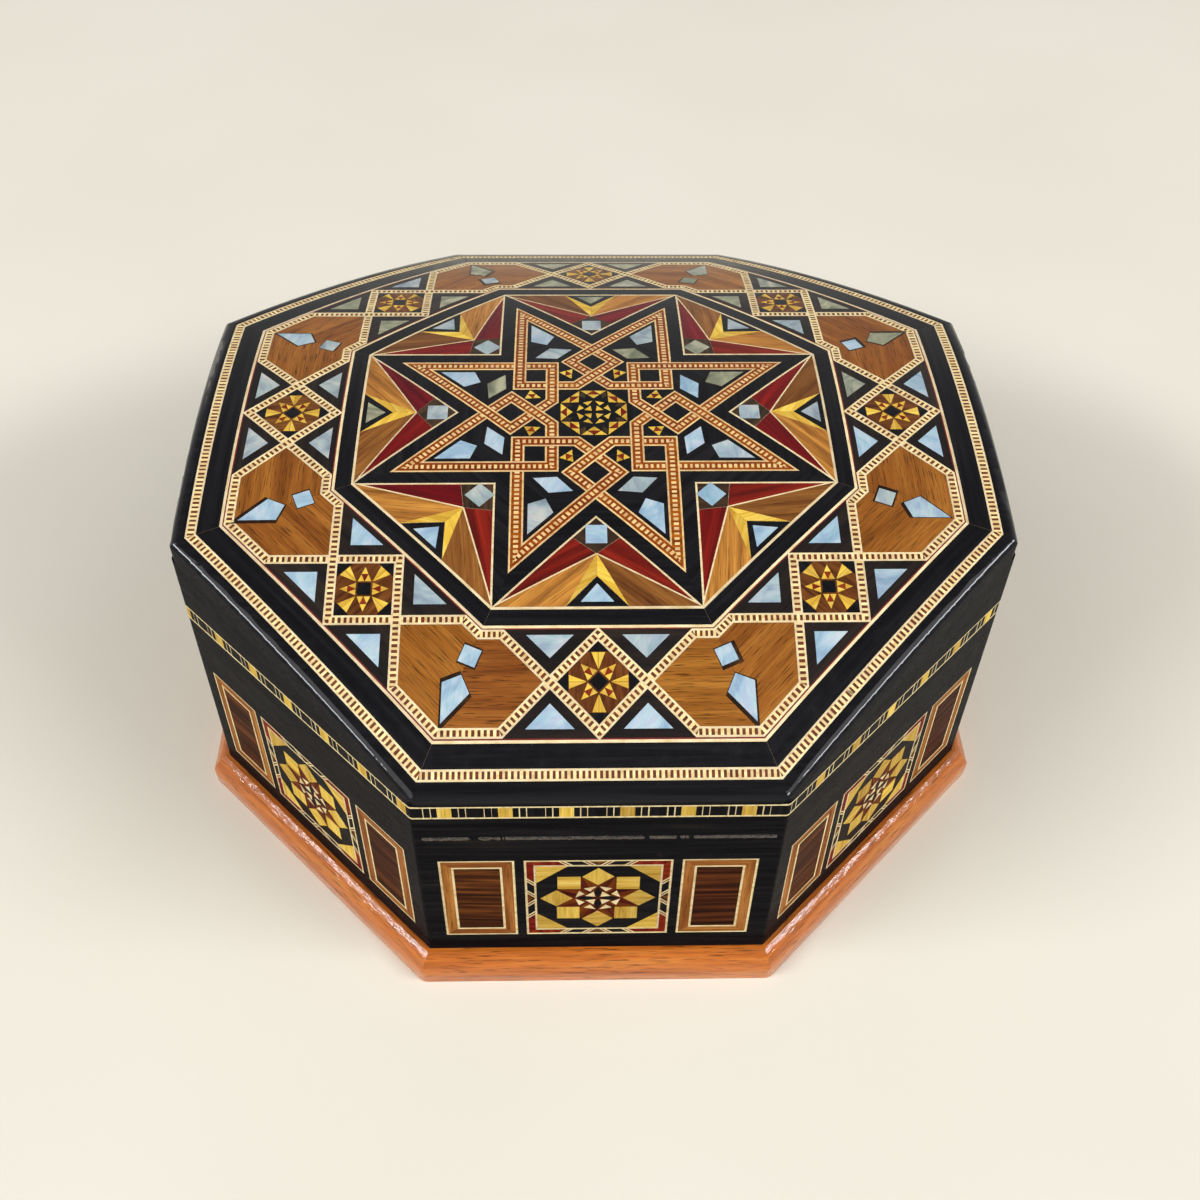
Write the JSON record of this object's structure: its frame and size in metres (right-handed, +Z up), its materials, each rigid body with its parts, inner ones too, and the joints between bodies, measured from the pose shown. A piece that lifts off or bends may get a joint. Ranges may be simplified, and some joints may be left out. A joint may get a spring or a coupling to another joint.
{
  "type": "mosaic box",
  "caption": "Octagonal lacquered wooden keepsake box with star marquetry on a barrel-vaulted lid that opens on butt hinges along the back.",
  "frame": {"origin": "middle of the underside, on the surface the box stands on", "axes": "+Z up, front faces -Y, the lid's hinge runs along X at the back (+Y)"},
  "size_m": [0.195, 0.195, 0.09],
  "materials": {
    "ebony_lacquer": "black-stained wood under glossy clear lacquer",
    "foot_wood": "orange-brown hardwood, glossy lacquer",
    "frame_wood": "reddish hardwood, glossy lacquer",
    "rosewood": "dark rosewood veneer, glossy lacquer",
    "honey_wood": "honey-brown hardwood veneer, glossy lacquer",
    "brown_wood": "brown walnut veneer, glossy lacquer",
    "red_wood": "red-dyed wood veneer, glossy lacquer",
    "yellow_wood": "yellow lemonwood veneer, glossy lacquer",
    "rope_inlay": "rope stringing of cream and brown wood blocks, glossy lacquer",
    "cream_line": "cream stringing, glossy lacquer",
    "mosaic_inlay": "sliced wood mosaic in yellow, red, brown and black, glossy lacquer",
    "band_inlay": "block stringing in yellow, black and cream, glossy lacquer",
    "pearl": "mother-of-pearl under glossy lacquer",
    "velvet": "dark red velvet",
    "felt": "black felt",
    "board": "plain board",
    "brass": "polished brass"
  },
  "bodies": {
    "box": {"wall_right": "ebony_lacquer", "moulding_right": "foot_wood", "wall_back_right": "ebony_lacquer", "moulding_back_right": "foot_wood", "wall_back": "ebony_lacquer", "moulding_back": "foot_wood", "wall_back_left": "ebony_lacquer", "moulding_back_left": "foot_wood", "wall_left": "ebony_lacquer", "moulding_left": "foot_wood", "wall_front_left": "ebony_lacquer", "moulding_front_left": "foot_wood", "wall_front": "ebony_lacquer", "moulding_front": "foot_wood", "wall_front_right": "ebony_lacquer", "moulding_front_right": "foot_wood", "base_felt": "felt", "bottom_board": "board", "floor_pad": "velvet", "wall_lining": "velvet", "wood_frames": "frame_wood", "wood_panels": "rosewood", "mosaic_yellow": "yellow_wood", "mosaic_stars": "red_wood", "mosaic_borders": "red_wood", "mosaic_fields": "ebony_lacquer", "hinge_body_leaves": "brass", "hinge_pins": "brass"},
    "lid": {"rim_right": "ebony_lacquer", "rim_back_right": "ebony_lacquer", "rim_back": "ebony_lacquer", "rim_back_left": "ebony_lacquer", "rim_left": "ebony_lacquer", "rim_front_left": "ebony_lacquer", "rim_front": "ebony_lacquer", "rim_front_right": "ebony_lacquer", "hinge_lid_leaves": "brass", "lid_panel": "ebony_lacquer", "lid_lining": "velvet", "lid_band": "band_inlay", "lid_red_wedges": "red_wood", "lid_brown_wedges": "brown_wood", "lid_yellow_chevrons": "yellow_wood", "lid_pearl_gaps": "pearl", "lid_pearl_star": "pearl", "lid_pearl_ring": "pearl", "lid_pearl_corners": "pearl", "lid_diamonds": "mosaic_inlay", "lid_small_triangles": "mosaic_inlay", "lid_rosette": "mosaic_inlay", "lid_outer_rope": "rope_inlay", "lid_strapwork": "rope_inlay", "lid_corner_fields": "honey_wood", "lid_ring_rope": "rope_inlay", "lid_cream_lines": "cream_line", "lid_ground": "ebony_lacquer"}
  },
  "joints": [
    {"name": "lid_hinge", "type": "hinge", "parent": "box", "child": "lid", "pos_m": [0, 0.0898, 0.0537], "axis": [-1, 0, 0], "range_deg": [0, 99]}
  ]
}
